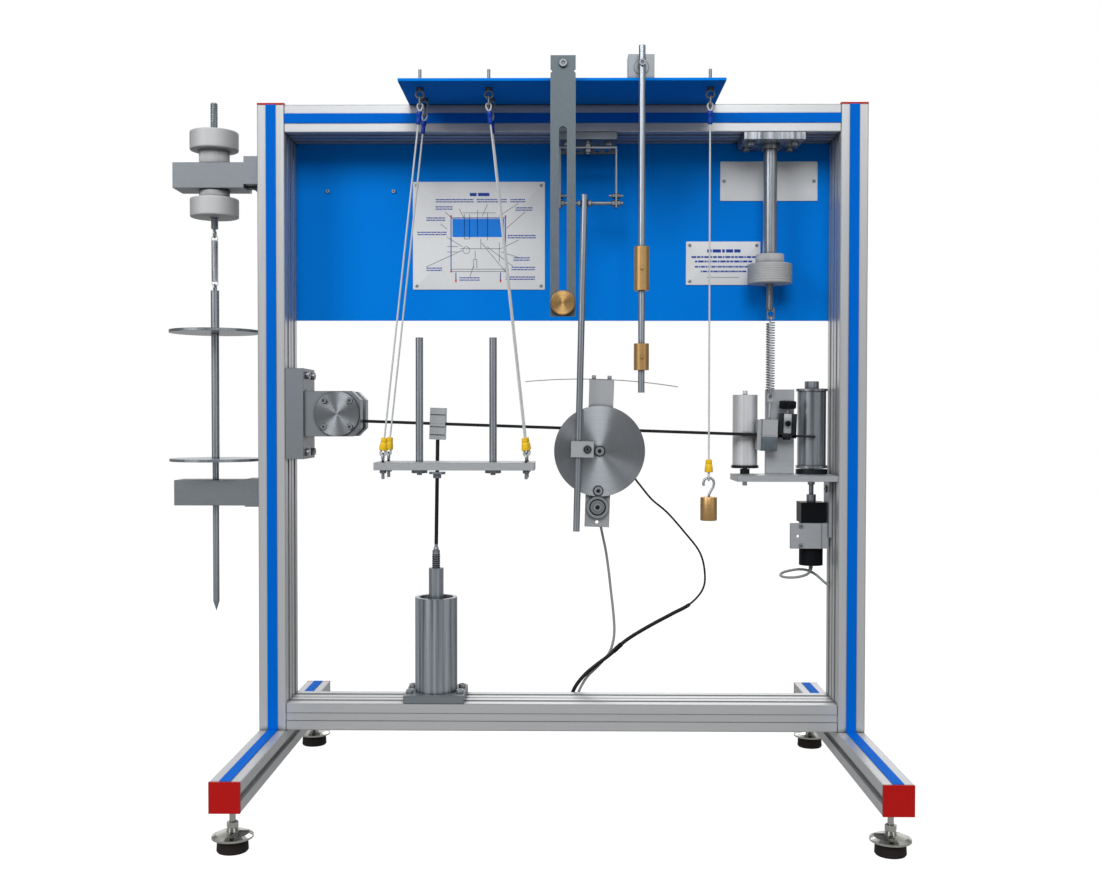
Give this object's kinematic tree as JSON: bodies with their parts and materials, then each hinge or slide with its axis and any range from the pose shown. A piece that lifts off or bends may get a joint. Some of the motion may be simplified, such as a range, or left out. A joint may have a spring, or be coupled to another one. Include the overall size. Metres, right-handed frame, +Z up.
{
  "type": "mechanical vibration apparatus",
  "caption": "Portal frame of slotted aluminium profile carrying pendulums, a bifilar platform, a spring and mass unit and a driven beam with dashpot and drum recorder.",
  "frame": {"origin": "middle of the bounding box on the floor", "axes": "+X to the right along the frame, +Y to the back, +Z up"},
  "size_m": [1.1656, 0.67, 1.191],
  "materials": {
    "anodised_profile": "satin anodised",
    "blue_paint": "smooth powder coat",
    "blue_strip": "extruded",
    "red_cap": "moulded",
    "zinc_steel": "zinc plated",
    "bright_steel": "bright",
    "pad_rubber": "matte",
    "machined_steel": "machined",
    "machined_aluminium": "machined",
    "black_steel": "blackened",
    "brass": "turned",
    "motor_black": "moulded",
    "grey_cable": "smooth",
    "black_cable": "smooth",
    "white_cord": "braided"
  },
  "bodies": {
    "frame": {"uprights": "anodised_profile", "cross_rails": "anodised_profile", "foot_rails": "anodised_profile", "cover_strips": "blue_strip", "end_caps": "red_cap", "levelling_feet": "zinc_steel", "foot_pads": "pad_rubber", "back_panel": "blue_paint", "socket_screws": "black_steel", "canopy_plate": "blue_paint", "bearing_blocks": "machined_aluminium", "canopy_hooks": "zinc_steel", "hanger_bracket": "machined_steel", "spring_support": "machined_steel", "trunnion_bracket": "machined_steel", "trunnion_covers": "machined_steel", "trunnion_bearings": "bright_steel", "dashpot_base": "machined_steel", "dashpot_cylinder": "machined_steel", "spring_arms": "machined_steel", "recorder_frame": "machined_aluminium", "recorder_motor": "motor_black", "recorder_lead": "grey_cable", "black_lead": "black_cable", "grey_lead": "grey_cable"},
    "beam": {"beam": "black_steel", "pivot_shaft": "black_steel", "dashpot_clamp": "machined_aluminium", "spring_block": "machined_aluminium", "pen_holder": "black_steel", "exciter_bracket": "machined_steel", "absorber_strip": "bright_steel", "exciter_motor": "motor_black"},
    "exciter_disc": {"exciter_disc": "machined_steel"},
    "motor_wheel": {"motor_wheel": "bright_steel"},
    "dashpot_piston": {"dashpot_piston": "machined_steel"},
    "stud_nuts": {"stud_nuts": "machined_aluminium"},
    "load_stud": {"load_stud": "machined_steel", "load_spring": "bright_steel"},
    "load_carrier": {"load_carrier": "zinc_steel"},
    "support_nut": {"support_nut": "machined_aluminium"},
    "support_stud": {"support_stud": "machined_steel", "beam_spring": "bright_steel"},
    "platform": {"platform_bar": "machined_aluminium", "platform_posts": "bright_steel"},
    "cord_front_left": {"cord_front_left": "white_cord"},
    "cord_front_right": {"cord_front_right": "white_cord"},
    "cord_rear_left": {"cord_rear_left": "white_cord"},
    "cord_rear_right": {"cord_rear_right": "white_cord"},
    "pendulum": {"pendulum_line": "white_cord", "pendulum_weight": "brass"},
    "pendulum_rod": {"pendulum_rod": "machined_steel"},
    "rod_mass_upper": {"rod_mass_upper": "brass"},
    "rod_mass_lower": {"rod_mass_lower": "brass"},
    "slotted_bar": {"slotted_bar": "machined_steel"},
    "bar_knob": {"bar_knob": "brass"},
    "hanging_rod": {"hanging_rod": "machined_steel"},
    "rod_clamp": {"rod_clamp": "machined_aluminium"},
    "paper_drum": {"paper_drum": "machined_aluminium"},
    "drive_drum": {"drive_drum": "machined_aluminium"}
  },
  "joints": [
    {"name": "beam_swing", "type": "hinge", "parent": "frame", "child": "beam", "pos_m": [-0.29475, 0, 0.637], "axis": [0, -1, 0], "range_deg": [-1.5, 1.5], "stiffness_Nm_per_rad": 777, "springref_deg": 1.04, "deforming": ["beam_spring", "black_lead", "grey_lead"]},
    {"name": "exciter_spin", "type": "hinge", "parent": "beam", "child": "exciter_disc", "pos_m": [0.13845, 0, 0.5756], "axis": [0, 1, 0], "continuous": true},
    {"name": "motor_wheel_spin", "type": "hinge", "parent": "beam", "child": "motor_wheel", "pos_m": [0.13535, 0, 0.48196], "axis": [0, 1, 0], "continuous": true},
    {"name": "dashpot_stroke", "type": "slide", "parent": "frame", "child": "dashpot_piston", "axis": [0, 0, 1], "range_m": [-0.0044, 0.0044]},
    {"name": "stud_nuts_turn", "type": "hinge", "parent": "frame", "child": "stud_nuts", "pos_m": [-0.50775, 0, 1.032], "axis": [0, 0, 1], "range_deg": [-720, 720]},
    {"name": "load_stud_lift", "type": "slide", "parent": "frame", "child": "load_stud", "axis": [0, 0, 1], "range_m": [-0.0042, 0.0042]},
    {"name": "load_bounce", "type": "slide", "parent": "load_stud", "child": "load_carrier", "axis": [0, 0, 1], "range_m": [-0.018, 0.012], "stiffness_N_per_m": 500, "springref_m": 0.03366, "deforming": ["load_spring"]},
    {"name": "support_nut_turn", "type": "hinge", "parent": "frame", "child": "support_nut", "pos_m": [0.42285, 0, 0.88], "axis": [0, 0, 1], "range_deg": [-720, 720]},
    {"name": "support_stud_lift", "type": "slide", "parent": "frame", "child": "support_stud", "axis": [0, 0, 1], "range_m": [-0.0042, 0.0042], "deforming": ["beam_spring"]},
    {"name": "platform_yaw", "type": "hinge", "parent": "frame", "child": "platform", "pos_m": [-0.09175, -0.114, 0.56068], "axis": [0, 0, 1], "range_deg": [-6, 6], "stiffness_Nm_per_rad": 0.145},
    {"name": "cord_front_left_swing", "type": "hinge", "parent": "frame", "child": "cord_front_left", "pos_m": [-0.14525, -0.145, 1.1186], "axis": [-0.9638, -0.2668, 0], "range_deg": [-1.4, 1.4]},
    {"name": "cord_front_right_swing", "type": "hinge", "parent": "frame", "child": "cord_front_right", "pos_m": [-0.03825, -0.145, 1.1186], "axis": [0.9638, -0.2668, 0], "range_deg": [-1.4, 1.4]},
    {"name": "cord_rear_left_swing", "type": "hinge", "parent": "frame", "child": "cord_rear_left", "pos_m": [-0.14525, -0.083, 1.1186], "axis": [-0.9638, 0.2668, 0], "range_deg": [-1.4, 1.4]},
    {"name": "cord_rear_right_swing", "type": "hinge", "parent": "frame", "child": "cord_rear_right", "pos_m": [-0.03825, -0.083, 1.1186], "axis": [0.9638, 0.2668, 0], "range_deg": [-1.4, 1.4]},
    {"name": "pendulum_swing", "type": "hinge", "parent": "frame", "child": "pendulum", "pos_m": [0.30525, -0.145, 1.1186], "axis": [0, 1, 0], "range_deg": [-12, 12]},
    {"name": "rod_swing", "type": "hinge", "parent": "frame", "child": "pendulum_rod", "pos_m": [0.19625, -0.2, 1.164], "axis": [0, 1, 0], "range_deg": [-18, 6]},
    {"name": "upper_mass_slide", "type": "slide", "parent": "pendulum_rod", "child": "rod_mass_upper", "axis": [0, 0, 1], "range_m": [-0.035, 0.2]},
    {"name": "lower_mass_slide", "type": "slide", "parent": "pendulum_rod", "child": "rod_mass_lower", "axis": [0, 0, 1], "range_m": [-0.03, 0.03]},
    {"name": "bar_swing", "type": "hinge", "parent": "frame", "child": "slotted_bar", "pos_m": [0.07725, -0.2, 1.164], "axis": [0, 1, 0], "range_deg": [-6, 18]},
    {"name": "knob_slide", "type": "slide", "parent": "slotted_bar", "child": "bar_knob", "axis": [0, 0, 1], "range_m": [0, 0.26]},
    {"name": "hanging_rod_swing", "type": "hinge", "parent": "frame", "child": "hanging_rod", "pos_m": [0.11425, -0.037, 0.983], "axis": [-1, 0, 0], "range_deg": [0, 12]},
    {"name": "clamp_slide", "type": "slide", "parent": "hanging_rod", "child": "rod_clamp", "axis": [0.0227, 0, 0.9997], "range_m": [-0.11, 0.3]},
    {"name": "paper_drum_spin", "type": "hinge", "parent": "frame", "child": "paper_drum", "pos_m": [0.38725, 0.03, 0.6], "axis": [0, 0, 1], "continuous": true},
    {"name": "drive_drum_spin", "type": "hinge", "parent": "frame", "child": "drive_drum", "pos_m": [0.50025, 0.03, 0.6], "axis": [0, 0, 1], "continuous": true}
  ],
  "couplings": [
    {"joint": "motor_wheel_spin", "follows": "exciter_spin", "ratio": -4.1944},
    {"joint": "dashpot_stroke", "follows": "beam_swing", "m_per_rad": 0.16167},
    {"joint": "load_stud_lift", "follows": "stud_nuts_turn", "m_per_rad": -0.00031831},
    {"joint": "support_stud_lift", "follows": "support_nut_turn", "m_per_rad": -0.00031831},
    {"joint": "cord_front_left_swing", "follows": "platform_yaw", "ratio": 0.21288},
    {"joint": "cord_front_right_swing", "follows": "platform_yaw", "ratio": 0.21288},
    {"joint": "cord_rear_left_swing", "follows": "platform_yaw", "ratio": 0.21288},
    {"joint": "cord_rear_right_swing", "follows": "platform_yaw", "ratio": 0.21288}
  ]
}
